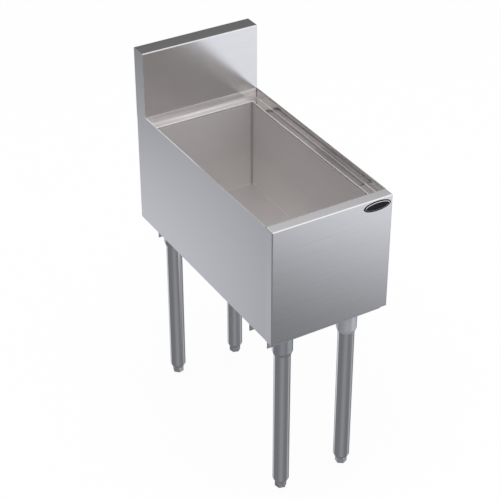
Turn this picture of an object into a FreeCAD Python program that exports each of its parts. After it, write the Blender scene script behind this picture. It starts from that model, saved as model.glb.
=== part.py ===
import FreeCAD, Part
import os
import re

import Sketcher

# An insulated underbar ice bin: a folded stainless shell round a welded ice well, a backsplash
# behind it, and four tubular legs on adjustable bullet feet.
# Millimetres. The origin is on the floor under the middle of the bin, +Z up, the front faces -Y.

DIMENSIONS = {
    # folded shell
    "width": 304.8,
    "depth": 616.8,
    "rim_height": 774.7,
    "shell_height": 294.7,
    "sheet": 1.27,
    "corner_radius": 2.2,
    "edge_radius": 1.2,
    "fold_return": 20.0,
    "fold_relief": 1.5,
    "rim_depth": 27.0,
    # backsplash
    "splash_height": 166.4,
    "splash_thick": 43.9,
    "splash_lap": 12.0,
    "splash_radius": 2.0,
    # ice well
    "ledge_drop": 24.6,
    "ledge_side": 20.2,
    "ledge_front": 13.0,
    "ledge_rear": 13.0,
    "ledge_radius": 1.2,
    "ledge_bend": 1.5,
    "well_depth": 258.0,
    "well_radius": 3.0,
    "recess_length": 408.0,
    "recess_depth": 3.5,
    "recess_lip": 2.5,
    "recess_roundness": 0.42,
    "foam_gap": 0.3,
    # drain in the middle of the well's floor
    "drain_shank": 36.0,
    "drain_pipe": 33.4,
    "drain_bore": 26.6,
    "drain_flange": 58.0,
    "drain_flange_thick": 2.5,
    "drain_drop": 40.0,
    "drain_clearance": 0.2,
    "drain_ring_width": 9.0,
    "gasket_thick": 2.5,
    "locknut_width": 52.0,
    "locknut_height": 9.0,
    "drain_well_room": 4.0,
    "strainer_diameter": 44.0,
    "strainer_thick": 1.2,
    "slot_width": 3.0,
    "slot_start": 5.0,
    "slot_end": 12.0,
    # leg channels
    "channel_width": 78.4,
    "channel_height": 20.7,
    "front_channel_inset": 2.4,
    "rear_channel_inset": 5.4,
    "channel_sheet": 2.0,
    "channel_radius": 1.5,
    "leg_side_set": 66.0,
    "front_leg_set": 60.0,
    "rear_leg_set": 39.3,
    # legs
    "plate_thick": 4.0,
    "plate_clearance": 3.0,
    "plate_radius": 8.0,
    "screw_edge": 9.0,
    "screw_diameter": 6.0,
    "screw_clearance": 0.1,
    "screw_head_width": 10.0,
    "screw_head_height": 4.0,
    "socket_length": 75.0,
    "socket_taper": 9.0,
    "socket_wall": 4.4,
    "socket_mouth_wall": 1.4,
    "socket_clearance": 0.15,
    "set_screw_diameter": 8.0,
    "set_screw_height": 38.0,
    "set_screw_key": 4.0,
    "tube_diameter": 39.2,
    "tube_wall": 1.6,
    "tube_gap": 0.2,
    "collar_height": 10.6,
    "collar_mouth": 28.0,
    "insert_length": 32.0,
    "insert_clearance": 0.1,
    # adjustable feet
    "foot_height": 14.4,
    "foot_width": 25.4,
    "foot_chamfer": 1.6,
    "foot_gap": 0.3,
    "stem_diameter": 12.7,
    "stem_clearance": 0.3,
    "stem_length": 42.0,
    "stem_socket": 9.0,
    # oval badge on the front panel
    "badge_width": 70.0,
    "badge_height": 25.0,
    "badge_thick": 1.2,
    "badge_inset": 39.9,
    "badge_drop": 17.0,
}

# Places that follow from the dimensions
FRONT = "((badge_thick - depth - sheet) / 2)"
REAR = f"({FRONT} + depth)"
SPLASH_FRONT = f"({REAR} + sheet - splash_thick)"
TOP = "(rim_height + splash_height)"
BOTTOM = "(rim_height - shell_height)"
LEDGE = "(rim_height - ledge_drop)"
FLOOR = "(rim_height - well_depth)"
LIP = f"({FRONT} + rim_depth - sheet)"
INSIDE = "(width / 2 - sheet)"
TRAY_SIDE = "(width / 2 - 2 * sheet)"
TRAY_FRONT = f"({FRONT} + rim_depth)"
TRAY_REAR = f"({SPLASH_FRONT} - sheet)"
WELL_SIDE = f"({TRAY_SIDE} - ledge_side)"
WELL_FRONT = f"({TRAY_FRONT} + ledge_front)"
WELL_REAR = f"({TRAY_REAR} - ledge_rear)"
WELL_MIDDLE = f"(({WELL_FRONT} + {WELL_REAR}) / 2)"
RECESS_END = "(recess_roundness * (ledge_side - 2 * recess_lip))"
LEG_SIDE = "(width / 2 - leg_side_set)"
PLATE_TOP = f"({BOTTOM} - channel_sheet)"
PLATE_BOTTOM = f"({PLATE_TOP} - plate_thick)"
PLATE_SIDE = "(channel_width / 2 - channel_sheet - plate_clearance)"
SCREW_SET = f"({PLATE_SIDE} - screw_edge)"
COLLAR_BOTTOM = "(foot_height + foot_gap)"
TUBE_BOTTOM = f"({COLLAR_BOTTOM} + collar_height)"
DRAIN_WELL = "(locknut_width / sqrt(3) + drain_well_room)"

SIDES = {"left": -1, "right": 1}
LEG_ROWS = {
    "front": {"y": f"({FRONT} + front_leg_set)", "inward": 1},
    "rear": {"y": f"({REAR} - rear_leg_set)", "inward": -1},
}
LEAST_CUT = 1.0  # cubic millimetres
# How far each foot has been turned when the bin was levelled
FOOT_TURNS = {"front_left": 30, "front_right": 22, "rear_left": 4, "rear_right": 33}

doc = FreeCAD.newDocument("underbar_ice_bin")
sheet = doc.addObject("Spreadsheet::Sheet", "Dimensions")
for row, (alias, size) in enumerate(DIMENSIONS.items(), 1):
    sheet.set(f"A{row}", alias.replace("_", " "))
    sheet.set(f"B{row}", str(size))
    sheet.setAlias(f"B{row}", alias)
doc.recompute()
nodes = []


def bound(text):
    """An expression in which each dimension's word points at its cell."""
    return re.sub(
        r"[a-z_]+",
        lambda word: f"Dimensions.{word.group()}" if word.group() in DIMENSIONS else word.group(),
        text,
    )


def value(text):
    """What an expression comes to, in millimetres."""
    return float(sheet.evalExpression(bound(text)))


def bind(thing, **expressions):
    """Binds properties to expressions; two underscores in a name stand for a dot."""
    for name, text in expressions.items():
        thing.setExpression(name.replace("__", "."), bound(text))
    return thing


def new_body(name):
    body = doc.addObject("PartDesign::Body", name)
    body.Label = name
    nodes.append(body)
    return body


def new_sketch(body, role, lift):
    """A sketch on one of the body's own origin planes, lifted along the plane's normal."""
    sketch = body.newObject("Sketcher::SketchObject", "Outline")
    plane = next(item for item in body.Origin.OriginFeatures if item.Role == role)
    sketch.AttachmentSupport = [(plane, "")]
    sketch.MapMode = "FlatFace"
    return bind(sketch, AttachmentOffset__Base__z=lift)


def hold(sketch, geometry, point, across, up):
    """Holds a point of the sketch at two expressions measured from its origin."""
    for kind, text in (("DistanceX", across), ("DistanceY", up)):
        rule = Sketcher.Constraint(kind, -1, 1, geometry, point, value(text))
        index = sketch.addConstraint(rule)
        sketch.setExpression(f"Constraints[{index}]", bound(text))


def polygon(sketch, corners):
    """A closed outline of straight lines through corners given as expressions."""
    points = [FreeCAD.Vector(value(across), value(up), 0) for across, up in corners]
    ends = points[1:] + points[:1]
    lines = [sketch.addGeometry(Part.LineSegment(a, b)) for a, b in zip(points, ends)]
    for line, following in zip(lines, lines[1:] + lines[:1]):
        sketch.addConstraint(Sketcher.Constraint("Coincident", line, 2, following, 1))
    for line, (across, up) in zip(lines, corners):
        hold(sketch, line, 1, across, up)
    return sketch


def rectangle(sketch, low_x, low_y, high_x, high_y):
    return polygon(sketch, [(low_x, low_y), (high_x, low_y), (high_x, high_y), (low_x, high_y)])


def circle(sketch, across, up, diameter):
    middle = FreeCAD.Vector(value(across), value(up), 0)
    round_line = Part.Circle(middle, FreeCAD.Vector(0, 0, 1), value(diameter) / 2)
    index = sketch.addGeometry(round_line)
    hold(sketch, index, 3, across, up)
    rule = sketch.addConstraint(Sketcher.Constraint("Diameter", index, value(diameter)))
    sketch.setExpression(f"Constraints[{rule}]", bound(diameter))
    return sketch


def pad(body, sketch, length):
    feature = body.newObject("PartDesign::Pad", "Pad")
    feature.Profile = sketch
    return bind(feature, Length=length)


def pocket(body, sketch, length):
    """Cuts against the sketch's normal, and makes sure that something came off."""
    doc.recompute()
    before = body.Shape.Volume
    feature = body.newObject("PartDesign::Pocket", "Pocket")
    feature.Profile = sketch
    bind(feature, Length=length)
    doc.recompute()
    if before - body.Shape.Volume < LEAST_CUT:
        raise RuntimeError(f"a pocket of {body.Label} cuts nothing")
    return feature


def revolve(body, corners):
    """Turns an outline in the XZ plane about the Z axis."""
    sketch = polygon(new_sketch(body, "XZ_Plane", "0"), corners)
    feature = body.newObject("PartDesign::Revolution", "Revolution")
    feature.Profile = sketch
    feature.ReferenceAxis = (sketch, ["V_Axis"])
    feature.Angle = 360
    return feature


def dress(body, kind, size, wanted, amount="Radius"):
    """Rounds or chamfers the edges of the body that pass the test."""
    doc.recompute()
    base = body.Tip
    edges = [f"Edge{i}" for i, edge in enumerate(base.Shape.Edges, 1) if wanted(edge)]
    if not edges:
        raise RuntimeError(f"{body.Label} has no such edge to dress")
    feature = body.newObject(f"PartDesign::{kind}", kind)
    feature.Base = (base, edges)
    return bind(feature, **{amount: size})


def near(a, b):
    return abs(a - b) < 0.01


def runs_along(edge, axis):
    """Whether an edge is a straight line along an axis, 0 for X, 1 for Y and 2 for Z."""
    a, b = edge.Vertexes[0].Point, edge.Vertexes[-1].Point
    spans = [abs(b[i] - a[i]) for i in range(3)]
    return spans[axis] > 0.01 and all(span < 0.01 for i, span in enumerate(spans) if i != axis)


def edge_at(axis, *places):
    """A test for edges along an axis that pass through one of the given places on the other two."""
    others = [i for i in range(3) if i != axis]
    spots = [tuple(value(text) for text in place) for place in places]

    def test(edge):
        middle = edge.CenterOfMass
        return runs_along(edge, axis) and any(
            near(middle[others[0]], a) and near(middle[others[1]], b) for a, b in spots
        )

    return test


def stand_at(thing, x, y, z="0", turn=0):
    """Places a piece at expressions, turned about Z by a number of degrees."""
    thing.Placement = FreeCAD.Placement(
        FreeCAD.Vector(), FreeCAD.Rotation(FreeCAD.Vector(0, 0, 1), turn)
    )
    return bind(thing, Placement__Base__x=x, Placement__Base__y=y, Placement__Base__z=z)


def folded_strip(body, corners, half_length):
    """A folded sheet's section in the YZ plane, drawn out evenly to both sides along X."""
    sketch = polygon(new_sketch(body, "YZ_Plane", f"-{half_length}"), corners)
    return pad(body, sketch, f"2 * {half_length}")


def front_panel():
    """Face, top rim and side returns in one welded piece, with the rim's inner lip and a bottom return."""
    body = new_body("front_panel")
    inner_face = f"{FRONT} + sheet"
    under_rim = "rim_height - sheet"
    block = new_sketch(body, "XY_Plane", BOTTOM)
    rectangle(block, "-width / 2", FRONT, "width / 2", LIP)
    pad(body, block, "shell_height")
    hollow = new_sketch(body, "XZ_Plane", f"-({inner_face})")
    rectangle(hollow, f"-{INSIDE}", BOTTOM, INSIDE, under_rim)
    pocket(body, hollow, "rim_depth - 2 * sheet")
    lip_front = f"{LIP} - sheet"
    lip = [(lip_front, LEDGE), (LIP, LEDGE), (LIP, under_rim), (lip_front, under_rim)]
    folded_strip(body, lip, INSIDE)
    return_end = f"{FRONT} + fold_return"
    return_top = f"{BOTTOM} + sheet"
    bottom_return = [
        (inner_face, BOTTOM),
        (return_end, BOTTOM),
        (return_end, return_top),
        (inner_face, return_top),
    ]
    folded_strip(body, bottom_return, "(width / 2 - fold_return - fold_relief)")
    left, right = "-width / 2", "width / 2"
    front_edge = edge_at(0, (FRONT, "rim_height"))
    end_edges = edge_at(1, (left, "rim_height"), (right, "rim_height"))
    corners = edge_at(2, (left, FRONT), (right, FRONT))
    dress(
        body,
        "Fillet",
        "corner_radius",
        lambda edge: front_edge(edge) or end_edges(edge) or corners(edge),
    )


def side_panels():
    notch = f"{LIP} + fold_relief"
    outline = [
        (LIP, BOTTOM),
        (REAR, BOTTOM),
        (REAR, f"{TOP} - sheet"),
        (f"{SPLASH_FRONT} + sheet", f"{TOP} - sheet"),
        (f"{SPLASH_FRONT} + sheet", "rim_height"),
        (notch, "rim_height"),
        (notch, "rim_height - sheet"),
        (LIP, "rim_height - sheet"),
    ]
    for side, sign in SIDES.items():
        body = new_body(f"{side}_panel")
        outer_face = f"{sign} * width / 2"
        low_face = outer_face if sign < 0 else INSIDE
        pad(body, polygon(new_sketch(body, "YZ_Plane", low_face), outline), "sheet")
        return_edge = f"{sign} * (width / 2 - fold_return)"
        low_x, high_x = (outer_face, return_edge) if sign < 0 else (return_edge, outer_face)
        strip = new_sketch(body, "XY_Plane", BOTTOM)
        rectangle(strip, low_x, LIP, high_x, f"{REAR} - sheet")
        pad(body, strip, "sheet")
        dress(body, "Fillet", "edge_radius", edge_at(1, (outer_face, BOTTOM)))


def back_panel():
    body = new_body("back_panel")
    inner_face = f"{REAR} - sheet"
    face = [
        (inner_face, BOTTOM),
        (REAR, BOTTOM),
        (REAR, "rim_height"),
        (inner_face, "rim_height"),
    ]
    folded_strip(body, face, INSIDE)
    return_end = f"{REAR} - fold_return"
    return_top = f"{BOTTOM} + sheet"
    bottom_return = [
        (return_end, BOTTOM),
        (inner_face, BOTTOM),
        (inner_face, return_top),
        (return_end, return_top),
    ]
    folded_strip(body, bottom_return, "(width / 2 - fold_return - fold_relief)")
    dress(body, "Fillet", "edge_radius", edge_at(0, (REAR, BOTTOM)))


def backsplash():
    body = new_body("backsplash")
    splash_rear = f"{REAR} + sheet"
    front_inner = f"{SPLASH_FRONT} + sheet"
    under_top = f"{TOP} - sheet"
    lap_end = "rim_height - splash_lap"
    hood = [
        (SPLASH_FRONT, "rim_height"),
        (SPLASH_FRONT, TOP),
        (splash_rear, TOP),
        (splash_rear, lap_end),
        (REAR, lap_end),
        (REAR, under_top),
        (front_inner, under_top),
        (front_inner, "rim_height"),
    ]
    folded_strip(body, hood, "(width / 2)")
    apron = [
        (SPLASH_FRONT, LEDGE),
        (front_inner, LEDGE),
        (front_inner, "rim_height"),
        (SPLASH_FRONT, "rim_height"),
    ]
    folded_strip(body, apron, INSIDE)
    dress(body, "Fillet", "splash_radius", edge_at(0, (SPLASH_FRONT, TOP), (splash_rear, TOP)))


def bottom_pan():
    body = new_body("bottom_pan")
    outline = new_sketch(body, "XY_Plane", f"{BOTTOM} + sheet")
    rectangle(outline, f"-{INSIDE}", f"{FRONT} + sheet", INSIDE, f"{REAR} - sheet")
    circle(outline, "0", WELL_MIDDLE, f"2 * {DRAIN_WELL}")
    pad(body, outline, "sheet")


def corners_of(low_x, low_y, high_x, high_y):
    return [(low_x, low_y), (low_x, high_y), (high_x, low_y), (high_x, high_y)]


def recess_boxes(margin):
    """The recess along each side ledge, grown outwards by a margin, from its low to its high corner."""
    middle = f"({TRAY_FRONT} + {TRAY_REAR}) / 2"
    low_y = f"({middle} - recess_length / 2 - {margin})"
    high_y = f"({middle} + recess_length / 2 + {margin})"
    near_x = f"({WELL_SIDE} + recess_lip - {margin})"
    far_x = f"({TRAY_SIDE} - recess_lip + {margin})"
    return [(f"-{far_x}", low_y, f"-{near_x}", high_y), (near_x, low_y, far_x, high_y)]


def recess_outlines(body, level, margin):
    sketch = new_sketch(body, "XY_Plane", level)
    for box in recess_boxes(margin):
        rectangle(sketch, *box)
    return sketch


def liner():
    """The ice well: upstand, ledge with a formed recess along each side, and a coved tub."""
    body = new_body("liner")
    under_ledge = f"({LEDGE} - sheet)"
    tray_outside = (f"-{INSIDE}", LIP, INSIDE, SPLASH_FRONT)
    tray_inside = (f"-{TRAY_SIDE}", TRAY_FRONT, TRAY_SIDE, TRAY_REAR)
    tub_inside = (f"-{WELL_SIDE}", WELL_FRONT, WELL_SIDE, WELL_REAR)
    tub_outside = (f"-({WELL_SIDE} + sheet)", f"({WELL_FRONT} - sheet)")
    tub_outside += (f"({WELL_SIDE} + sheet)", f"({WELL_REAR} + sheet)")

    pad(body, rectangle(new_sketch(body, "XY_Plane", under_ledge), *tray_outside), "ledge_drop + sheet")
    tub = new_sketch(body, "XY_Plane", f"{FLOOR} - sheet")
    pad(body, rectangle(tub, *tub_outside), f"{LEDGE} - {FLOOR}")
    pad(body, recess_outlines(body, f"{under_ledge} - recess_depth", "sheet"), "recess_depth")
    pocket(body, rectangle(new_sketch(body, "XY_Plane", "rim_height"), *tray_inside), "ledge_drop")
    pocket(body, rectangle(new_sketch(body, "XY_Plane", LEDGE), *tub_inside), f"{LEDGE} - {FLOOR}")
    pocket(body, recess_outlines(body, LEDGE, "0"), "recess_depth")

    def round_rim(box, level, radius, uprights=False):
        """Rounds a box's edges at one level, and its upright edges too if asked."""
        low_x, low_y, high_x, high_y = box
        tests = [edge_at(0, (low_y, level), (high_y, level)), edge_at(1, (low_x, level), (high_x, level))]
        if uprights:
            tests.append(edge_at(2, *corners_of(*box)))
        dress(body, "Fillet", radius, lambda edge: any(test(edge) for test in tests))

    for margin in ("0", "sheet"):
        ends = [corner for box in recess_boxes(margin) for corner in corners_of(*box)]
        dress(body, "Fillet", f"{RECESS_END} + {margin}", edge_at(2, *ends))
    round_rim(tray_inside, LEDGE, "ledge_bend")
    round_rim(tray_outside, under_ledge, "ledge_bend + sheet")
    round_rim(tub_inside, FLOOR, "well_radius", uprights=True)
    round_rim(tub_outside, f"{FLOOR} - sheet", "well_radius + sheet", uprights=True)
    round_rim(tub_inside, LEDGE, "ledge_radius")
    hole = new_sketch(body, "XY_Plane", FLOOR)
    circle(hole, "0", WELL_MIDDLE, "drain_shank + 2 * drain_clearance")
    pocket(body, hole, "sheet")


def insulation():
    """Foam that fills the space between the shell and the well, with a way through for the drain."""
    body = new_body("insulation")
    base = f"({BOTTOM} + 2 * sheet)"
    top = f"({LEDGE} - recess_depth - sheet - foam_gap)"
    block = new_sketch(body, "XY_Plane", base)
    side = f"({INSIDE} - foam_gap)"
    rectangle(
        block, f"-{side}", f"{FRONT} + sheet + foam_gap", side, f"{REAR} - sheet - foam_gap"
    )
    pad(body, block, f"{top} - {base}")
    cavity = new_sketch(body, "XY_Plane", top)
    cavity_side = f"({WELL_SIDE} + sheet + foam_gap)"
    rectangle(
        cavity,
        f"-{cavity_side}",
        f"{WELL_FRONT} - sheet - foam_gap",
        cavity_side,
        f"{WELL_REAR} + sheet + foam_gap",
    )
    cavity_floor = f"({FLOOR} - sheet - foam_gap)"
    pocket(body, cavity, f"{top} - {cavity_floor}")
    shaft = circle(new_sketch(body, "XY_Plane", cavity_floor), "0", WELL_MIDDLE, f"2 * {DRAIN_WELL}")
    pocket(body, shaft, f"{cavity_floor} - {base}")


def screw_places(row_name):
    """Where the socket screws of one row of legs stand."""
    return [
        (f"{side} * {LEG_SIDE} + {a} * {SCREW_SET}", f"{LEG_ROWS[row_name]['y']} + {b} * {SCREW_SET}")
        for side in SIDES.values()
        for a in (-1, 1)
        for b in (-1, 1)
    ]


def leg_channels():
    """Folded channels across the bin's underside that carry the leg sockets: the front one has a flange on
    both sides, and the rear one only towards the front, so that it ends flush at the back."""
    flange_end = f"({BOTTOM} - channel_height)"
    web_under = f"({BOTTOM} - channel_sheet)"
    for name, leg_row in LEG_ROWS.items():
        body = new_body(f"{name}_leg_channel")
        low, high = f"({leg_row['y']} - channel_width / 2)", f"({leg_row['y']} + channel_width / 2)"
        low_inner, high_inner = f"{low} + channel_sheet", f"{high} - channel_sheet"
        section = [
            (low_inner, web_under),
            (low_inner, flange_end),
            (low, flange_end),
            (low, BOTTOM),
            (high, BOTTOM),
        ]
        inner_folds, outer_folds = [(low_inner, web_under)], [(low, BOTTOM)]
        if name == "front":
            section += [(high, flange_end), (high_inner, flange_end), (high_inner, web_under)]
            inner_folds.append((high_inner, web_under))
            outer_folds.append((high, BOTTOM))
        else:
            section.append((high, web_under))
        folded_strip(body, section, f"(width / 2 - {name}_channel_inset)")
        dress(body, "Fillet", "channel_radius", edge_at(0, *inner_folds))
        dress(body, "Fillet", "channel_radius + channel_sheet", edge_at(0, *outer_folds))
        holes = new_sketch(body, "XY_Plane", BOTTOM)
        for x, y in screw_places(name):
            circle(holes, x, y, "screw_diameter + 2 * screw_clearance")
        pocket(body, holes, "channel_sheet")


def leg_socket(name, x, y, turn):
    """A plate with a short sleeve below it; the sleeve's mouth tapers, and a set screw holds the tube."""
    body = new_body(f"leg_socket_{name}")
    plate = new_sketch(body, "XY_Plane", PLATE_BOTTOM)
    rectangle(plate, f"-{PLATE_SIDE}", f"-{PLATE_SIDE}", PLATE_SIDE, PLATE_SIDE)
    for a in (-1, 1):
        for b in (-1, 1):
            hole = "screw_diameter + 2 * screw_clearance"
            circle(plate, f"{a} * {SCREW_SET}", f"{b} * {SCREW_SET}", hole)
    pad(body, plate, "plate_thick")
    corners = [(f"{a} * {PLATE_SIDE}", f"{b} * {PLATE_SIDE}") for a in (-1, 1) for b in (-1, 1)]
    dress(body, "Fillet", "plate_radius", edge_at(2, *corners))
    bore = "(tube_diameter / 2 + socket_clearance)"
    outside = f"({bore} + socket_wall)"
    mouth = f"({PLATE_BOTTOM} - socket_length)"
    revolve(
        body,
        [
            (bore, PLATE_BOTTOM),
            (outside, PLATE_BOTTOM),
            (outside, f"{mouth} + socket_taper"),
            (f"{bore} + socket_mouth_wall", mouth),
            (bore, mouth),
        ],
    )
    thread = new_sketch(body, "XZ_Plane", "0")
    circle(thread, "0", f"{PLATE_BOTTOM} - set_screw_height", "set_screw_diameter + 2 * screw_clearance")
    pocket(body, thread, f"{outside} + socket_wall")
    stand_at(body, x, y, turn=turn)


def leg_tube(name, x, y):
    body = new_body(f"leg_tube_{name}")
    ring = new_sketch(body, "XY_Plane", TUBE_BOTTOM)
    circle(ring, "0", "0", "tube_diameter")
    circle(ring, "0", "0", "tube_diameter - 2 * tube_wall")
    pad(body, ring, f"{PLATE_BOTTOM} - tube_gap - {TUBE_BOTTOM}")
    stand_at(body, x, y)


def leg_insert(name, x, y):
    """The plug pressed into the tube's end: a tapered collar below, threaded through for the stem."""
    body = new_body(f"leg_insert_{name}")
    bore = "(stem_diameter / 2 + stem_clearance)"
    plug = "(tube_diameter / 2 - tube_wall - insert_clearance)"
    plug_top = f"({TUBE_BOTTOM} + insert_length)"
    revolve(
        body,
        [
            (bore, COLLAR_BOTTOM),
            ("collar_mouth / 2", COLLAR_BOTTOM),
            ("tube_diameter / 2", TUBE_BOTTOM),
            (plug, TUBE_BOTTOM),
            (plug, plug_top),
            (bore, plug_top),
        ],
    )
    stand_at(body, x, y)


def foot(name, x, y):
    """A hexagonal bullet foot with a chamfered sole and a blind hole for its stem."""
    body = new_body(f"foot_{name}")
    hexagon = body.newObject("PartDesign::AdditivePrism", "Hexagon")
    hexagon.Polygon = 6
    bind(hexagon, Circumradius="foot_width / sqrt(3)", Height="foot_height")
    dress(
        body,
        "Chamfer",
        "foot_chamfer",
        lambda edge: near(edge.BoundBox.ZMin, 0) and near(edge.BoundBox.ZMax, 0),
        amount="Size",
    )
    hole = circle(new_sketch(body, "XY_Plane", "foot_height"), "0", "0", "stem_diameter")
    pocket(body, hole, "stem_socket")
    stand_at(body, x, y, turn=FOOT_TURNS[name])


def foot_stem(name, x, y):
    body = new_body(f"foot_stem_{name}")
    base = "(foot_height - stem_socket)"
    rod = circle(new_sketch(body, "XY_Plane", base), "0", "0", "stem_diameter")
    pad(body, rod, "stem_socket + stem_length")
    stand_at(body, x, y)


def legs():
    for row_name, leg_row in LEG_ROWS.items():
        for side, sign in SIDES.items():
            name = f"{row_name}_{side}"
            x, y = f"{sign} * {LEG_SIDE}", leg_row["y"]
            leg_socket(name, x, y, 0 if leg_row["inward"] > 0 else 180)
            leg_tube(name, x, y)
            leg_insert(name, x, y)
            foot(name, x, y)
            foot_stem(name, x, y)


def group(name, pieces):
    """Separate solids that share one node."""
    compound = doc.addObject("Part::Compound", name)
    compound.Label = name
    compound.Links = pieces
    nodes.append(compound)


def socket_screws():
    """Hex screws from below, through the socket plates into the channel webs."""
    screws = []
    for row_name in LEG_ROWS:
        for x, y in screw_places(row_name):
            head = doc.addObject("Part::Prism", "ScrewHead")
            head.Polygon = 6
            bind(head, Circumradius="screw_head_width / sqrt(3)", Height="screw_head_height")
            stand_at(head, x, y, f"{PLATE_BOTTOM} - screw_head_height")
            shank = doc.addObject("Part::Cylinder", "ScrewShank")
            bind(shank, Radius="screw_diameter / 2", Height="plate_thick + channel_sheet")
            stand_at(shank, x, y, PLATE_BOTTOM)
            screw = doc.addObject("Part::Fuse", "Screw")
            screw.Base, screw.Tool = head, shank
            screws.append(screw)
    group("socket_screws", screws)


def set_screws():
    """Flat-ended grub screws through the sockets' inward sides, each with a hex key recess."""
    screws = []
    for leg_row in LEG_ROWS.values():
        inward = leg_row["inward"]
        lie = FreeCAD.Rotation(FreeCAD.Vector(1, 0, 0), -90 * inward)
        tip = "(tube_diameter / 2 + socket_clearance)"
        for sign in SIDES.values():
            x, z = f"{sign} * {LEG_SIDE}", f"{PLATE_BOTTOM} - set_screw_height"
            rod = doc.addObject("Part::Cylinder", "GrubRod")
            bind(rod, Radius="set_screw_diameter / 2", Height="socket_wall")
            key = doc.addObject("Part::Prism", "GrubKey")
            key.Polygon = 6
            bind(key, Circumradius="set_screw_key / sqrt(3)", Height="socket_wall")
            for piece, start in ((rod, tip), (key, f"({tip} + socket_wall / 2)")):
                stand_at(piece, x, f"{leg_row['y']} + {inward} * {start}", z)
                piece.Placement.Rotation = lie
            screw = doc.addObject("Part::Cut", "GrubScrew")
            screw.Base, screw.Tool = rod, key
            screws.append(screw)
    group("set_screws", screws)


def drain():
    """A flanged drain clamped to the well's floor, with its strainer resting in the flange."""
    shank, pipe, bore = "(drain_shank / 2)", "(drain_pipe / 2)", "(drain_bore / 2)"
    hole = f"({shank} + drain_clearance)"
    seat = "(strainer_diameter / 2 + drain_clearance)"
    flange_top = f"({FLOOR} + drain_flange_thick)"
    seat_level = f"({flange_top} - strainer_thick)"
    body = new_body("drain_body")
    revolve(
        body,
        [
            (bore, f"{BOTTOM} - drain_drop"),
            (pipe, f"{BOTTOM} - drain_drop"),
            (pipe, BOTTOM),
            (shank, BOTTOM),
            (shank, FLOOR),
            ("drain_flange / 2", FLOOR),
            ("drain_flange / 2 - drain_flange_thick / 2", flange_top),
            (seat, flange_top),
            (seat, seat_level),
            (bore, seat_level),
        ],
    )
    gasket = new_body("drain_gasket")
    gasket_under = f"({FLOOR} - sheet - gasket_thick)"
    ring = circle(new_sketch(gasket, "XY_Plane", gasket_under), "0", "0", f"2 * {hole}")
    circle(ring, "0", "0", f"2 * ({hole} + drain_ring_width)")
    pad(gasket, ring, "gasket_thick")

    nut = new_body("drain_locknut")
    hexagon = nut.newObject("PartDesign::AdditivePrism", "Hexagon")
    hexagon.Polygon = 6
    bind(hexagon, Circumradius="locknut_width / sqrt(3)", Height="locknut_height")
    through = circle(new_sketch(nut, "XY_Plane", "locknut_height"), "0", "0", f"2 * {hole}")
    pocket(nut, through, "locknut_height")
    stand_at(nut, "0", WELL_MIDDLE, f"{gasket_under} - locknut_height")

    strainer = new_body("drain_strainer")
    disc = circle(new_sketch(strainer, "XY_Plane", seat_level), "0", "0", "strainer_diameter")
    pad(strainer, disc, "strainer_thick")
    first = new_sketch(strainer, "XY_Plane", flange_top)
    rectangle(first, "slot_start", "-slot_width / 2", "slot_end", "slot_width / 2")
    slot = pocket(strainer, first, "strainer_thick")
    pattern = strainer.newObject("PartDesign::PolarPattern", "RingOfSlots")
    pattern.Originals = [slot]
    pattern.Axis = (first, ["N_Axis"])
    pattern.Angle = 360
    pattern.Occurrences = 6
    strainer.Tip = pattern
    for piece in (body, gasket, strainer):
        stand_at(piece, "0", WELL_MIDDLE)


def badge():
    """A plain oval plate stuck to the front panel."""
    oval = doc.addObject("Part::Ellipse", "BadgeOutline")
    bind(oval, MajorRadius="badge_width / 2", MinorRadius="badge_height / 2")
    stand_at(oval, "width / 2 - badge_inset", FRONT, "rim_height - badge_drop")
    oval.Placement.Rotation = FreeCAD.Rotation(FreeCAD.Vector(1, 0, 0), 90)
    plate = doc.addObject("Part::Extrusion", "badge")
    plate.Label = "badge"
    plate.Base = oval
    plate.DirMode = "Custom"
    plate.Dir = FreeCAD.Vector(0, -1, 0)
    plate.Solid = True
    bind(plate, LengthFwd="badge_thick")
    nodes.append(plate)


def write_parts():
    """Writes each piece to its own file once everything in the document is sound."""
    doc.recompute()
    for item in doc.Objects:
        if {"Invalid", "Error"} & set(item.State):
            raise RuntimeError(f"{item.Label} failed to build")
    for node in nodes:
        if node.Shape.isNull() or not node.Shape.isValid():
            raise RuntimeError(f"{node.Label} has no valid shape")
    os.makedirs("parts", exist_ok=True)
    for node in nodes:
        node.Shape.exportStep(f"parts/{node.Label}.step")
    print(f"{len(nodes)} pieces written")


front_panel()
side_panels()
back_panel()
backsplash()
bottom_pan()
liner()
insulation()
leg_channels()
legs()
socket_screws()
set_screws()
drain()
badge()
write_parts()
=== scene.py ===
import math

import bmesh
import bpy
from mathutils import Matrix, Vector


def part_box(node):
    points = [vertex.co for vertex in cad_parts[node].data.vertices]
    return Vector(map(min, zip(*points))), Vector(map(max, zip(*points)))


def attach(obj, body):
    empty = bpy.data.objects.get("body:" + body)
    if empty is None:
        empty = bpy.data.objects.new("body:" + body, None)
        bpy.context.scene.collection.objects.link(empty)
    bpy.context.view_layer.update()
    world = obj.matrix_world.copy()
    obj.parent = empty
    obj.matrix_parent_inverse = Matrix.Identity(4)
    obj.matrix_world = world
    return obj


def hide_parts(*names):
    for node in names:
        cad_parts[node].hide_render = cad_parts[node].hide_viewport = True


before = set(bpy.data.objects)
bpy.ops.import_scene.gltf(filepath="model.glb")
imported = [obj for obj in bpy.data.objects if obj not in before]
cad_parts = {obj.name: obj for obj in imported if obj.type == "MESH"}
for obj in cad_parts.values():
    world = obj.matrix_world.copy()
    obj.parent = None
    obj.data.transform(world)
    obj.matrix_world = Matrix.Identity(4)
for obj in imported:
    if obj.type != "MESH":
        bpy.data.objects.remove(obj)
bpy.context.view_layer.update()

# Looks for an underbar ice bin in satin stainless steel: finishes for the folded sheets, tubes and
# castings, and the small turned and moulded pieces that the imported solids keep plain. Lengths are in
# metres.

LEGS = ("front_left", "front_right", "rear_left", "rear_right")

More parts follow.
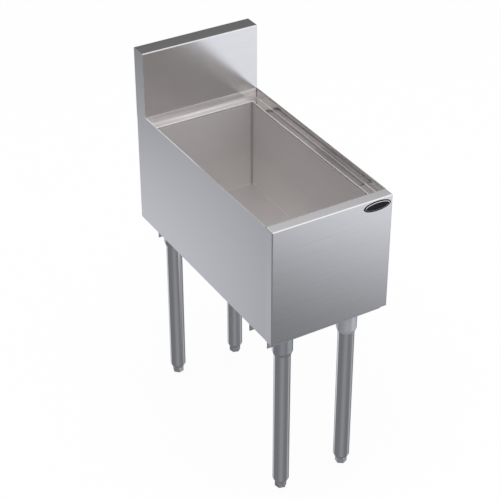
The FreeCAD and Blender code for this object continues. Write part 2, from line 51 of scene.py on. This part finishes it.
# Feet: how far each was turned when the bin was levelled, in degrees, and their hexagonal bar
FOOT_TURN = {"front_left": 44, "front_right": 24, "rear_left": 14, "rear_right": 43}
FOOT_WIDTH, FOOT_HEIGHT, FOOT_EASE = 0.0254, 0.0144, 0.0007
# Stems: a rolled thread, with turns to spare that are cut off at both ends
THREAD_RADIUS, THREAD_PITCH, THREAD_DEPTH = 0.00635, 0.00195, 0.0011
THREAD_STEPS, SPARE_TURNS = 32, 2

# Badge: the sides of its oval, the ease of its edge, the widths of the border, of the bright line and of
# the step inside it, and how far the line stands out over the border and over the field
BADGE_SIDES, BADGE_EASE = 96, 0.0003
BORDER_WIDTH, LINE_WIDTH, STEP_WIDTH = 0.0026, 0.0010, 0.0002
LINE_OVER_BORDER, LINE_OVER_FIELD = 0.0003, 0.0005

# Eased edges are this many faces wide
EASE_FACES = 3
# Faces meet smoothly below these angles, in degrees
EASED_ANGLE, THREAD_ANGLE = 12, 20
# What counts as the same place, and as the same point
SAME_PLACE, SAME_POINT = 1e-5, 1e-6

# The liner's own lines: the ledge's height, the well's depth, and half of the well, of the tray and of the
# recesses about their middles
LEDGE, WELL_DEPTH = 0.7501, 0.258
WELL_SIDE, WELL_HALF, WELL_MIDDLE = 0.12966, 0.25995, -0.008485
TRAY_SIDE, TRAY_HALF = 0.14986, 0.27295
RECESS_HALF = 0.198
WELL_FLOOR, WELL_WAIST = LEDGE - WELL_DEPTH, LEDGE - WELL_DEPTH / 2

# Where the liner's painted light and shade begin and end, measured from those lines
TRAY_DROP, BESIDE_WELL = 0.005, 0.001
RECESS_WALL_DROP, RECESS_FLOOR_DROP, RECESS_END_DROP = 0.001, 0.0032, 0.0004
RECESS_END_WIDTH, INNER_WALL_SHORT = 0.004, 0.012
REAR_END_FADE = 0.02
EDGE_WIDTH, EDGE_DROP, LIP_RISE = 0.0016, 0.0014, 0.0006
BEND_NEAR, BEND_FAR, BEND_DROP = 0.001, 0.006, 0.002
WELD_WIDTH, FOLD_WIDTH, FLOOR_FOLD_WIDTH = 0.0012, 0.0013, 0.0035
# How far a face's normal leans one way for the face to count as a wall, an upstand, a floor or a ledge
WALL_LEAN, UPSTAND_LEAN, FLOOR_LEAN, LEDGE_LEAN = 0.7, 0.9, 0.5, 0.3
# A face looks away from the bin's middle where its X times its normal's X passes this
LOOKS_AWAY = 0.03

# Polishing marks: how many lie in a metre along X, Y and Z
ALONG_X = (5, 300, 300)
ALONG_Y = (300, 5, 300)
ALONG_Z = (400, 400, 5)
TURNED = (300, 300, 900)
MARK_DETAIL, MARK_ROUGHNESS = 4, 0.6
# The marks' middle, the range of them that changes a tone or a gloss, and the distance of their relief
MARK_MIDDLE, MARK_LOW, MARK_HIGH = 0.5, 0.3, 0.7
RELIEF_DISTANCE = 0.0001

# How much the marks change a sheet's tone, gloss and relief
SHEET_CONTRAST, SHEET_GLOSS, SHEET_RELIEF = 0.02, 0.006, 0.01
LINER_CONTRAST, LINER_GLOSS, LINER_RELIEF = 0.12, 0.02, 0.006
TUB_MARKS, TRAY_MARKS = 0.1, 2
SPECK_GLOSS = 0.04
# A sheet's face looks up where its normal's Z passes this
LOOKS_UP = 0.95

SHELL = (0.682, 0.668, 0.662)
LINER = (0.676, 0.649, 0.636)
TUB_METAL, END_METAL, SIDE_METAL = 0.5, 0.6, 0.88
INNER_WALL_LOSS = 0.6
TUB_ROUGHNESS, TRAY_ROUGHNESS = 0.28, 0.13
# Painted light and shade on the liner: how much lighter or darker each place is painted than its plain
# sheet, in place of the reflections, highlights and shade that fall on it there
LINER_TONES = {
    "recess_wall": 0.85,
    "recess_floor": 1.48,
    "lip": 0.72,
    "end_ledge": 0.74,
    "end_upstand": 1.12,
    "tray_side": 0.92,
    "bend": 0.55,
    # painted shade in the tray's corners
    "weld": 0.35,
    "edge": 1.35,
    "inner_wall": 1.7,
    "fold": 1.28,
    "low_wall": 1.45,
    "high_wall": 0.93,
    "side_wall": 0.97,
    "recess_end": 0.55,
    "rear_end": 1.08,
    "rear_floor": 0.87,
    "floor_fold": 0.7,
}
# What is left at the rear of the painted light low on the walls
LOW_WALL_AT_REAR = 0.55


class Board:
    """A node tree, with short words for the kinds of node that the finishes and the light share."""

    def __init__(self, tree):
        self.nodes, self.links = tree.nodes, tree.links

    def step(self, operation, *values):
        """One arithmetic step; each value is a socket or a number."""
        node = self.nodes.new("ShaderNodeMath")
        node.operation = operation
        for socket, value in zip(node.inputs, values):
            if isinstance(value, (int, float)):
                socket.default_value = value
            else:
                self.links.new(value, socket)
        return node.outputs[0]

    def above(self, value, limit):
        return self.step("GREATER_THAN", value, limit)

    def below(self, value, limit):
        return self.step("LESS_THAN", value, limit)

    def size(self, value):
        return self.step("ABSOLUTE", value)

    def all_of(self, mask, *others):
        """A mask of what lies in each of these masks."""
        for other in others:
            mask = self.step("MULTIPLY", mask, other)
        return mask

    def fade(self, source, low, high, start=0, end=1, kind="LINEAR"):
        """Goes from start to end as the source goes from low to high."""
        node = self.nodes.new("ShaderNodeMapRange")
        node.interpolation_type = kind
        for socket, value in zip(("From Min", "From Max", "To Min", "To Max"), (low, high, start, end)):
            node.inputs[socket].default_value = value
        self.links.new(source, node.inputs["Value"])
        return node.outputs["Result"]

    def place(self, kind="Object"):
        return self.nodes.new("ShaderNodeTexCoord").outputs[kind]

    def normal(self):
        return self.nodes.new("ShaderNodeNewGeometry").outputs["True Normal"]

    def parts(self, vector):
        """A vector's X, Y and Z."""
        node = self.nodes.new("ShaderNodeSeparateXYZ")
        self.links.new(vector, node.inputs[0])
        return node.outputs["X"], node.outputs["Y"], node.outputs["Z"]

    def marks(self, grain):
        """Long thin polishing marks; grain is how many lie in a metre along X, Y and Z."""
        stretch = self.nodes.new("ShaderNodeMapping")
        stretch.inputs["Scale"].default_value = grain
        noise = self.nodes.new("ShaderNodeTexNoise")
        noise.inputs["Scale"].default_value = 1
        noise.inputs["Detail"].default_value = MARK_DETAIL
        noise.inputs["Roughness"].default_value = MARK_ROUGHNESS
        self.links.new(self.place(), stretch.inputs["Vector"])
        self.links.new(stretch.outputs["Vector"], noise.inputs["Vector"])
        return noise.outputs["Fac"]

    def tint(self, marks, dark, light):
        """A colour that runs from dark to light over the marks' range."""
        ramp = self.nodes.new("ShaderNodeValToRGB")
        ends = zip(ramp.color_ramp.elements, (MARK_LOW, MARK_HIGH), (dark, light))
        for element, position, colour in ends:
            element.position = position
            element.color = (*colour, 1)
        self.links.new(marks, ramp.inputs["Fac"])
        return ramp.outputs["Color"]

    def toned(self, colour, mask, factor):
        """The colour, made darker or lighter by a factor where the mask is 1."""
        mix = self.nodes.new("ShaderNodeMix")
        mix.data_type = "RGBA"
        mix.blend_type = "MULTIPLY"
        mix.inputs["B"].default_value = (factor, factor, factor, 1)
        self.links.new(mask, mix.inputs["Factor"])
        self.links.new(colour, mix.inputs["A"])
        return mix.outputs["Result"]

    def finish(self, shader, colour, roughness, marks, depth):
        """Gives the shader its colour and its roughness, and the marks a very fine relief."""
        self.links.new(colour, shader.inputs["Base Color"])
        self.links.new(roughness, shader.inputs["Roughness"])
        scratches = self.nodes.new("ShaderNodeBump")
        scratches.inputs["Strength"].default_value = depth
        scratches.inputs["Distance"].default_value = RELIEF_DISTANCE
        self.links.new(marks, scratches.inputs["Height"])
        self.links.new(scratches.outputs["Normal"], shader.inputs["Normal"])


def new_material(name):
    """A material with a plain Principled shader; returns it with its board and its shader."""
    material = bpy.data.materials.new(name)
    material.use_nodes = True
    return material, Board(material.node_tree), material.node_tree.nodes["Principled BSDF"]


def darker_and_lighter(colour, contrast):
    return (tuple(factor * part for part in colour) for factor in (1 - contrast, 1 + contrast))


def satin_steel(name, colour, roughness, grain, metal=1.0, top=1.0):
    """Stainless sheet with a fine polishing grain that shows in its tone, its gloss and its relief; faces
    that look up may be painted darker by the factor top, as painted shade."""
    material, board, shader = new_material(name)
    shader.inputs["Metallic"].default_value = metal
    marks = board.marks(grain)
    tone = board.tint(marks, *darker_and_lighter(colour, SHEET_CONTRAST))
    if top != 1:
        upward = board.parts(board.normal())[2]
        # Painted shade: faces that look up are painted darker by the factor top
        tone = board.toned(tone, board.above(upward, LOOKS_UP), top)
    gloss = board.fade(marks, MARK_LOW, MARK_HIGH, roughness - SHEET_GLOSS, roughness + SHEET_GLOSS)
    board.finish(shader, tone, gloss, marks, SHEET_RELIEF)
    return material


def speckled(name, colour, roughness, metal=0.0, sheen=0.5, grain=900, contrast=0.06, depth=0.02):
    """A small piece's finish: fine even specks in its tone, its gloss and its relief."""
    material, board, shader = new_material(name)
    shader.inputs["Metallic"].default_value = metal
    shader.inputs["Specular IOR Level"].default_value = sheen
    specks = board.marks((grain, grain, grain))
    tone = board.tint(specks, *darker_and_lighter(colour, contrast))
    gloss = board.fade(specks, MARK_LOW, MARK_HIGH, roughness - SPECK_GLOSS, roughness + SPECK_GLOSS)
    board.finish(shader, tone, gloss, specks, depth)
    return material


def liner_places(board):
    """Masks for the places of the liner: each is 1 in its place and 0 outside, and some fade."""
    x, y, height = board.parts(board.place())
    normal_x, normal_y, normal_z = board.parts(board.normal())
    aside = board.size(x)
    along = board.size(board.step("SUBTRACT", y, WELL_MIDDLE))
    sideways, endways = board.size(normal_x), board.size(normal_y)

    in_tray = board.above(height, LEDGE - TRAY_DROP)
    in_tub = board.step("SUBTRACT", 1, in_tray)
    past_well = board.above(along, WELL_HALF)
    beside = board.above(aside, WELL_SIDE + BESIDE_WELL)
    side_face = board.above(sideways, WALL_LEAN)
    side_ledge = board.all_of(beside, board.below(along, WELL_HALF))
    at_side = board.step("MAXIMUM", side_ledge, side_face)
    at_end = board.step("MAXIMUM", past_well, board.above(endways, WALL_LEAN))
    places = {"in_tray": in_tray, "at_side": at_side, "at_end": at_end}

    # The tray: its ledges, upstands, folds and corners; its corners get painted shade, its folds a painted
    # highlight, its sides painted shade and its rear end painted light
    places["tray_side"] = board.all_of(at_side, in_tray)
    places["end_ledge"] = board.all_of(past_well, board.above(normal_z, LEDGE_LEAN))
    places["end_upstand"] = board.all_of(past_well, board.above(endways, UPSTAND_LEAN))
    rear = WELL_MIDDLE + RECESS_HALF
    places["rear_end"] = board.all_of(board.fade(y, rear, rear + REAR_END_FADE), beside, in_tray)
    to_fold = board.size(board.step("SUBTRACT", TRAY_SIDE, aside))
    places["fold"] = board.all_of(
        board.below(to_fold, FOLD_WIDTH), board.below(height, LEDGE + FOLD_WIDTH))
    # Painted shade in the tray's corners: a dark line where two walls meet
    to_corner = board.step(
        "MAXIMUM", board.step("SUBTRACT", TRAY_SIDE, aside), board.step("SUBTRACT", TRAY_HALF, along))
    places["weld"] = board.below(to_corner, WELD_WIDTH)

    # The recesses in the side ledges, and the lip round them: painted shade on their walls, their ends and
    # the lip, and painted light on their floors and on the inner walls that look away
    places["recess_wall"] = board.all_of(board.below(height, LEDGE - RECESS_WALL_DROP), beside)
    places["recess_floor"] = board.all_of(board.below(height, LEDGE - RECESS_FLOOR_DROP), beside)
    places["recess_end"] = board.all_of(
        board.below(height, LEDGE - RECESS_END_DROP), beside,
        board.above(along, RECESS_HALF - RECESS_END_WIDTH))
    places["inner_wall"] = board.all_of(
        beside, in_tray, board.above(board.step("MULTIPLY", x, normal_x), LOOKS_AWAY),
        board.below(along, RECESS_HALF - INNER_WALL_SHORT))
    places["lip"] = board.all_of(
        board.below(along, RECESS_HALF), board.above(aside, WELL_SIDE + EDGE_WIDTH),
        board.below(height, LEDGE + LIP_RISE))

    # The well: its edge, its upright bends, its walls and its floor, with a painted highlight on its edge,
    # painted shade by its bends, high on its walls, on its floor's folds and to its rear, and painted light
    # low on its walls
    past_edge = board.step(
        "MAXIMUM", board.step("SUBTRACT", aside, WELL_SIDE), board.step("SUBTRACT", along, WELL_HALF))
    places["edge"] = board.all_of(
        board.below(past_edge, EDGE_WIDTH), board.above(height, LEDGE - EDGE_DROP))
    to_bend = board.step(
        "MAXIMUM", board.step("SUBTRACT", WELL_SIDE, aside), board.step("SUBTRACT", WELL_HALF, along))
    places["bend"] = board.all_of(
        board.fade(to_bend, BEND_NEAR, BEND_FAR, 1, 0), board.below(height, LEDGE - BEND_DROP))
    tub_wall = board.all_of(in_tub, board.below(normal_z, FLOOR_LEAN))
    to_front = board.fade(y, -WELL_HALF, WELL_HALF, 1, LOW_WALL_AT_REAR)
    downward = board.fade(height, WELL_FLOOR, WELL_WAIST, 1, 0)
    places["low_wall"] = board.all_of(tub_wall, downward, to_front)
    places["high_wall"] = board.all_of(tub_wall, board.fade(height, WELL_WAIST, LEDGE))
    places["side_wall"] = board.all_of(tub_wall, side_face)
    to_rear = board.fade(y, WELL_MIDDLE, WELL_MIDDLE + WELL_HALF)
    places["rear_floor"] = board.all_of(to_rear, in_tub, board.above(normal_z, FLOOR_LEAN))
    places["floor_fold"] = board.all_of(
        board.above(aside, WELL_SIDE - FLOOR_FOLD_WIDTH),
        board.below(height, WELL_FLOOR + FLOOR_FOLD_WIDTH))
    return places


def liner_steel(name, colour):
    """The well's sheet: its ends are polished across and the rest along the bin, and its tray is glossier
    and shows the marks more than the tub. Its ledge, bends and tray corners are painted darker as painted
    shade and the well's edge brighter as a painted highlight; the tub's walls are painted lighter downwards
    and its floor darker to the rear, as painted light and shade."""
    material, board, shader = new_material(name)
    places = liner_places(board)
    in_tray = places["in_tray"]

    metal = board.fade(places["at_side"], 0, 1, END_METAL, SIDE_METAL)
    gain = board.step("MULTIPLY", in_tray, board.step("SUBTRACT", metal, TUB_METAL))
    metal = board.step("ADD", TUB_METAL, gain)
    loss = board.step("MULTIPLY", places["inner_wall"], INNER_WALL_LOSS)
    metal = board.step("MULTIPLY", metal, board.step("SUBTRACT", 1, loss))
    board.links.new(metal, shader.inputs["Metallic"])

    grain = board.nodes.new("ShaderNodeMix")
    board.links.new(places["at_end"], grain.inputs["Factor"])
    board.links.new(board.marks(ALONG_Y), grain.inputs["A"])
    board.links.new(board.marks(ALONG_X), grain.inputs["B"])
    strength = board.fade(in_tray, 0, 1, TUB_MARKS, TRAY_MARKS)
    swing = board.step("SUBTRACT", grain.outputs["Result"], MARK_MIDDLE)
    marks = board.step("ADD", MARK_MIDDLE, board.step("MULTIPLY", swing, strength))

    tone = board.tint(marks, *darker_and_lighter(colour, LINER_CONTRAST))
    # Each place gets its painted light or shade, a lighter or darker tone standing in for how light falls
    # there
    for place, factor in LINER_TONES.items():
        tone = board.toned(tone, places[place], factor)
    gloss = board.fade(in_tray, 0, 1, TUB_ROUGHNESS, TRAY_ROUGHNESS)
    swing = board.step("SUBTRACT", marks, MARK_MIDDLE)
    gloss = board.step("ADD", gloss, board.step("MULTIPLY", swing, LINER_GLOSS))
    board.finish(shader, tone, gloss, marks, LINER_RELIEF)
    return material


sheets = {
    "front_sheet": dict(colour=SHELL, roughness=0.13, grain=ALONG_X),
    # The backsplash's upward faces get painted shade through top
    "splash_sheet": dict(colour=SHELL, roughness=0.2, grain=ALONG_X, metal=0.91, top=0.77),
    "side_sheet": dict(colour=SHELL, roughness=0.2, grain=ALONG_Y),
    "channel_sheet": dict(colour=(0.45, 0.455, 0.465), roughness=0.32, grain=ALONG_X),
    "socket_casting": dict(colour=(0.64, 0.642, 0.66), roughness=0.24, grain=ALONG_Z),
    # A lit copy of the socket casting for the front right leg: painted light, a little lighter and less
    # metallic than the others
    "pale_casting": dict(colour=(0.65, 0.652, 0.67), roughness=0.3, grain=ALONG_Z, metal=0.7),
    "polished_tube": dict(colour=SHELL, roughness=0.12, grain=ALONG_Z),
    "turned_plug": dict(colour=(0.62, 0.622, 0.635), roughness=0.18, grain=TURNED),
    "hex_bar": dict(colour=(0.61, 0.61, 0.625), roughness=0.34, grain=ALONG_Z),
}
small_pieces = {
    "threaded_rod": dict(colour=(0.55, 0.55, 0.55), roughness=0.3, metal=1, grain=2500),
    "screw_steel": dict(colour=(0.55, 0.55, 0.56), roughness=0.3, metal=1, grain=2500),
    "plated_brass": dict(colour=(0.5, 0.5, 0.5), roughness=0.3, metal=1, grain=1500, contrast=0.03),
    "gasket_rubber": dict(colour=(0.03, 0.03, 0.03), roughness=0.7, contrast=0.3, depth=0.2),
    "foam": dict(colour=(0.80, 0.70, 0.42), roughness=0.9, grain=400, contrast=0.12, depth=0.6),
    "badge_black": dict(colour=(0.01, 0.01, 0.011), roughness=0.4, sheen=0.12, grain=2500, contrast=0.2),
    "badge_line": dict(colour=(0.9, 0.9, 0.9), roughness=0.2, metal=1, grain=2500, contrast=0.03),
}
finishes = {name: satin_steel(name, **look) for name, look in sheets.items()}
finishes["liner_sheet"] = liner_steel("liner_sheet", LINER)
finishes.update({name: speckled(name, **look) for name, look in small_pieces.items()})

worn_by = {
    "front_sheet": ["front_panel", "back_panel"],
    "splash_sheet": ["backsplash"],
    "side_sheet": ["left_panel", "right_panel", "bottom_pan"],
    "liner_sheet": ["liner"],
    "channel_sheet": ["front_leg_channel", "rear_leg_channel"],
    "socket_casting": [f"leg_socket_{leg}" for leg in LEGS if leg != "front_right"],
    # The front right socket wears the lit copy, painted light
    "pale_casting": ["leg_socket_front_right"],
    "polished_tube": [f"leg_tube_{leg}" for leg in LEGS],
    "turned_plug": [f"leg_insert_{leg}" for leg in LEGS],
    "hex_bar": [f"foot_{leg}" for leg in LEGS],
    "threaded_rod": [f"foot_stem_{leg}" for leg in LEGS],
    "screw_steel": ["socket_screws", "set_screws"],
    "plated_brass": ["drain_body", "drain_locknut", "drain_strainer"],
    "gasket_rubber": ["drain_gasket"],
    "foam": ["insulation"],
    "badge_black": ["badge"],
}
for finish, names in worn_by.items():
    for name in names:
        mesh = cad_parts[name].data
        mesh.materials.clear()
        mesh.materials.append(finishes[finish])


def start_piece(name):
    """Names the primitive that was just added, sets its place into its mesh and opens it for editing."""
    piece = bpy.context.object
    piece.name = name
    bpy.ops.object.transform_apply(location=True, rotation=True, scale=True)
    bpy.ops.object.mode_set(mode="EDIT")
    return piece


def choose(piece, kind, test):
    """Leaves only those edges or faces selected that pass the test."""
    bpy.ops.mesh.select_mode(type=kind)
    bpy.ops.mesh.select_all(action="DESELECT")
    shape = bmesh.from_edit_mesh(piece.data)
    for part in shape.faces if kind == "FACE" else shape.edges:
        part.select_set(test(part))
    shape.select_flush_mode()
    bmesh.update_edit_mesh(piece.data)


def end_piece(piece, finish, angle):
    """Turns the faces outwards, smooths all edges below the angle and gives the piece its finish."""
    bpy.ops.mesh.select_all(action="SELECT")
    bpy.ops.mesh.normals_make_consistent(inside=False)
    bpy.ops.object.mode_set(mode="OBJECT")
    bpy.ops.object.shade_smooth_by_angle(angle=math.radians(angle))
    piece.data.materials.append(finishes[finish])


def box_of(name):
    return (Vector(corner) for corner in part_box(name))


def badge():
    """An oval plate with an eased edge, and a bright line that rises round its sunken black field."""
    low, high = box_of("badge")
    middle, size = (low + high) / 2, high - low
    border = low.y + LINE_OVER_BORDER
    line_middle = low.y + LINE_OVER_BORDER / 2
    bpy.ops.object.select_all(action="DESELECT")
    bpy.ops.mesh.primitive_cylinder_add(
        vertices=BADGE_SIDES, radius=0.5, depth=high.y - border, end_fill_type="NGON",
        location=(middle.x, (border + high.y) / 2, middle.z), rotation=(math.radians(90), 0, 0),
        scale=(size.x, size.z, 1),
    )
    piece = start_piece("oval_badge")
    choose(piece, "EDGE", lambda edge: all(abs(end.co.y - border) < SAME_PLACE for end in edge.verts))
    bpy.ops.mesh.bevel(offset=BADGE_EASE, segments=EASE_FACES, profile=0.5)
    flat, sloping = -0.99, -0.9
    choose(piece, "FACE", lambda face: (
        face.normal.y < flat and abs(face.calc_center_median().y - border) < SAME_PLACE))
    bpy.ops.mesh.inset(thickness=BORDER_WIDTH)
    bpy.ops.mesh.inset(thickness=LINE_WIDTH)
    bpy.ops.transform.translate(value=(0, -LINE_OVER_BORDER, 0))
    bpy.ops.mesh.inset(thickness=STEP_WIDTH)
    bpy.ops.transform.translate(value=(0, LINE_OVER_FIELD, 0))
    end_piece(piece, "badge_black", EASED_ANGLE)
    piece.data.materials.append(finishes["badge_line"])
    for polygon in piece.data.polygons:
        if polygon.normal.y < sloping and abs(polygon.center.y - line_middle) < 5 * SAME_PLACE:
            polygon.material_index = 1
    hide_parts("badge")
    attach(piece, "bin")


def place_copy(piece, name, leg, turn=0):
    """A copy with its own mesh, turned about its upright axis and set at a leg, its place in its mesh."""
    low, high = box_of(f"leg_tube_{leg}")
    middle = (low + high) / 2
    copy = piece.copy()
    copy.data = piece.data.copy()
    copy.name = name
    bpy.context.collection.objects.link(copy)
    turned = Matrix.Rotation(math.radians(turn), 4, "Z")
    copy.data.transform(Matrix.Translation((middle.x, middle.y, 0)) @ turned)
    return copy


def bullet_feet():
    """Hexagonal feet with eased edges, made with a corner towards +X and then turned."""
    bpy.ops.object.select_all(action="DESELECT")
    bpy.ops.mesh.primitive_cylinder_add(
        vertices=6, radius=FOOT_WIDTH / math.sqrt(3), depth=FOOT_HEIGHT,
        location=(0, 0, FOOT_HEIGHT / 2), rotation=(0, 0, math.radians(-30)),
    )
    hexagon = start_piece("hex_foot")
    choose(hexagon, "EDGE", lambda edge: True)
    bpy.ops.mesh.bevel(offset=FOOT_EASE, segments=EASE_FACES, profile=0.5)
    end_piece(hexagon, "hex_bar", EASED_ANGLE)
    for leg in LEGS:
        foot = place_copy(hexagon, f"bullet_foot_{leg}", leg, FOOT_TURN[leg])
        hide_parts(f"foot_{leg}")
        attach(foot, f"foot_{leg}")
    bpy.data.objects.remove(hexagon)


def threaded_stems():
    """The feet's stems with a rolled thread: one tooth's section, a triangle without its base, wound up
    the rod and cut to length."""
    low, high = box_of("foot_stem_front_left")
    corner_radius = THREAD_PITCH / math.sqrt(3)
    tooth_middle = THREAD_RADIUS - THREAD_DEPTH * 2 / 3
    bpy.ops.object.select_all(action="DESELECT")
    bpy.ops.mesh.primitive_circle_add(
        vertices=3, radius=corner_radius, fill_type="NOTHING",
        location=(tooth_middle, 0, low.z - THREAD_PITCH),
        rotation=(math.radians(90), math.radians(90), 0),
        scale=(1, THREAD_DEPTH / (1.5 * corner_radius), 1),
    )
    rod = start_piece("threaded_stem")
    choose(rod, "EDGE", lambda edge: abs(edge.verts[0].co.x - edge.verts[1].co.x) < SAME_POINT)
    bpy.ops.mesh.delete(type="EDGE")
    bpy.ops.object.mode_set(mode="OBJECT")
    wind = rod.modifiers.new("wind", "SCREW")
    wind.axis = "Z"
    wind.screw_offset = THREAD_PITCH
    wind.iterations = math.ceil((high.z - low.z) / THREAD_PITCH) + SPARE_TURNS
    wind.steps = wind.render_steps = THREAD_STEPS
    wind.use_merge_vertices = True
    wind.merge_threshold = SAME_POINT
    bpy.ops.object.modifier_apply(modifier=wind.name)
    bpy.ops.object.mode_set(mode="EDIT")
    bpy.ops.mesh.select_all(action="SELECT")
    bpy.ops.mesh.remove_doubles(threshold=SAME_POINT)
    bpy.ops.mesh.bisect(plane_co=(0, 0, low.z), plane_no=(0, 0, 1), use_fill=True, clear_inner=True)
    bpy.ops.mesh.select_all(action="SELECT")
    bpy.ops.mesh.bisect(plane_co=(0, 0, high.z), plane_no=(0, 0, 1), use_fill=True, clear_outer=True)
    end_piece(rod, "threaded_rod", THREAD_ANGLE)
    for leg in LEGS:
        stem = place_copy(rod, f"threaded_stem_{leg}", leg)
        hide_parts(f"foot_stem_{leg}")
        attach(stem, f"foot_{leg}")
    bpy.data.objects.remove(rod)


# Floor: its size, how far it lies below the feet at rest, which is just over their travel, its paint, and
# how much of it shows to the camera as plain white
FLOOR_SIZE, FLOOR_DROP = 60, 0.0252
FLOOR_PAINT = (0.9, 0.9, 0.9, 1)
FLOOR_WHITE = 0.92


def studio_floor():
    """A white floor that keeps the bin's shadow, low enough for feet that are screwed out; the metal sees
    the soft boxes instead of it."""
    bpy.ops.object.select_all(action="DESELECT")
    bpy.ops.mesh.primitive_plane_add(size=FLOOR_SIZE, location=(0, 0, -FLOOR_DROP))
    floor = bpy.context.object
    floor.name = "floor"
    floor.visible_glossy = False
    material = bpy.data.materials.new("studio_floor")
    material.use_nodes = True
    board = Board(material.node_tree)
    board.nodes.clear()
    output = board.nodes.new("ShaderNodeOutputMaterial")
    ray = board.nodes.new("ShaderNodeLightPath")
    paint = board.nodes.new("ShaderNodeBsdfDiffuse")
    paint.inputs["Color"].default_value = FLOOR_PAINT
    white = board.nodes.new("ShaderNodeEmission")
    white.inputs["Strength"].default_value = 1
    to_camera = board.nodes.new("ShaderNodeMixShader")
    seen = board.step("MULTIPLY", ray.outputs["Is Camera Ray"], FLOOR_WHITE)
    board.links.new(seen, to_camera.inputs["Fac"])
    board.links.new(paint.outputs[0], to_camera.inputs[1])
    board.links.new(white.outputs[0], to_camera.inputs[2])
    board.links.new(to_camera.outputs[0], output.inputs["Surface"])
    floor.data.materials.append(material)


# The dim surround: its strength and its colour below and above the horizon, and where they change over
SURROUND_BELOW, SURROUND_ABOVE = 0.24, 0.06
COOL, NEUTRAL = (0.955, 0.985, 1.06), (0.985, 1.0, 1.03)
CHANGE_LOW, CHANGE_HIGH = -0.4, 0.2
# Soft boxes as the metal sees them: where each stands round the bin, in degrees of azimuth from +X and of
# elevation, half its width and height in degrees, the share of it that fades out, and its strength
SOFT_BOXES = {
    "front_right": (-50, 0, 38, 38.2, 0.2, 0.94),
    "rear_left_low": (108, -36, 17.3, 13, 0.77, 0.76),
    "camera_low": (-119, -38, 45, 30, 1.0, 0.13),
    "right_low": (-12, -38, 22, 22, 0.9, 0.30),
    "front_left": (-138, -8, 50, 18, 0.9, 0.6),
    "rear_right": (45, -8, 50, 18, 0.9, 0.6),
    "rear_left": (132, -8, 50, 18, 0.9, 0.6),
    "overhead": (-90, 75, 76.5, 76.5, 0.05, 0.98),
}
# The lamp that casts the shadow, with its tilt in degrees and its power in watts
LAMP_PLACE, LAMP_TILT = (-0.6, -0.8, 3.2), (-12, -10, 0)
LAMP_SIZE, LAMP_POWER = 2.4, 25


def soft_box(board, way, azimuth, elevation, width, height, fade, strength):
    """How bright an oval box is along a way, full in its middle and fading out over its edge."""
    turn, rise = math.radians(azimuth), math.radians(elevation)
    middle = Vector((math.cos(turn) * math.cos(rise), math.sin(turn) * math.cos(rise), math.sin(rise)))
    across = Vector((-math.sin(turn), math.cos(turn), 0))
    upward = middle.cross(across)

    def along(axis):
        node = board.nodes.new("ShaderNodeVectorMath")
        node.operation = "DOT_PRODUCT"
        node.inputs[1].default_value = axis
        board.links.new(way, node.inputs[0])
        return node.outputs["Value"]

    aside = board.nodes.new("ShaderNodeCombineXYZ")
    board.links.new(along(across / math.sin(math.radians(width))), aside.inputs["X"])
    board.links.new(along(upward / math.sin(math.radians(height))), aside.inputs["Y"])
    reach = board.nodes.new("ShaderNodeVectorMath")
    reach.operation = "LENGTH"
    board.links.new(aside.outputs[0], reach.inputs[0])
    glow = board.fade(reach.outputs["Value"], 1, 1 - fade, 0, strength, "SMOOTHSTEP")
    return board.all_of(glow, board.above(along(middle), 0))


def studio_light():
    """Soft boxes round the bin on a dim surround, behind a white backdrop, and one lamp for the shadow."""
    world = bpy.data.worlds.new("studio")
    bpy.context.scene.world = world
    world.use_nodes = True
    board = Board(world.node_tree)
    boxes = board.nodes["Background"]
    way = board.place("Generated")
    upward = board.parts(way)[2]
    change = board.fade(upward, CHANGE_LOW, CHANGE_HIGH, MARK_LOW, MARK_HIGH)
    board.links.new(board.tint(change, COOL, NEUTRAL), boxes.inputs["Color"])
    glow = board.fade(upward, CHANGE_LOW, CHANGE_HIGH, SURROUND_BELOW, SURROUND_ABOVE)
    for box in SOFT_BOXES.values():
        glow = board.step("ADD", soft_box(board, way, *box), glow)
    board.links.new(glow, boxes.inputs["Strength"])

    ray = board.nodes.new("ShaderNodeLightPath")
    backdrop = board.nodes.new("ShaderNodeBackground")
    backdrop.inputs["Color"].default_value = (1, 1, 1, 1)
    backdrop.inputs["Strength"].default_value = 1
    to_camera = board.nodes.new("ShaderNodeMixShader")
    board.links.new(ray.outputs["Is Camera Ray"], to_camera.inputs["Fac"])
    board.links.new(boxes.outputs[0], to_camera.inputs[1])
    board.links.new(backdrop.outputs[0], to_camera.inputs[2])
    board.links.new(to_camera.outputs[0], board.nodes["World Output"].inputs["Surface"])

    bpy.ops.object.light_add(type="AREA", location=LAMP_PLACE)
    lamp = bpy.context.object
    lamp.name = "overhead_lamp"
    lamp.visible_glossy = False
    lamp.data.shape = "RECTANGLE"
    lamp.data.size = lamp.data.size_y = LAMP_SIZE
    lamp.data.energy = LAMP_POWER
    lamp.rotation_euler = [math.radians(angle) for angle in LAMP_TILT]


# The camera's place, the ways its right, its top and its back look, and its sensor and lens in millimetres
CAMERA_PLACE = (-1.5294, -2.5559, 2.4902)
CAMERA_RIGHT = (0.8613, -0.5080, -0.0011)
CAMERA_UP = (0.2826, 0.4773, 0.8321)
CAMERA_BACK = (-0.4222, -0.7170, 0.5547)
CAMERA_SENSOR, CAMERA_LENS = 36, 109.2
CAMERA_REACH = 200


def photo_camera():
    """The view that the photograph was taken from, found from its straight edges."""
    bpy.ops.object.camera_add(location=CAMERA_PLACE)
    camera = bpy.context.object
    camera.rotation_euler = Matrix((CAMERA_RIGHT, CAMERA_UP, CAMERA_BACK)).transposed().to_euler()
    camera.data.sensor_width = CAMERA_SENSOR
    camera.data.lens = CAMERA_LENS
    camera.data.clip_end = CAMERA_REACH
    bpy.context.scene.camera = camera


badge()
bullet_feet()
threaded_stems()
studio_floor()
studio_light()
photo_camera()
bpy.context.scene.view_settings.view_transform = "Standard"
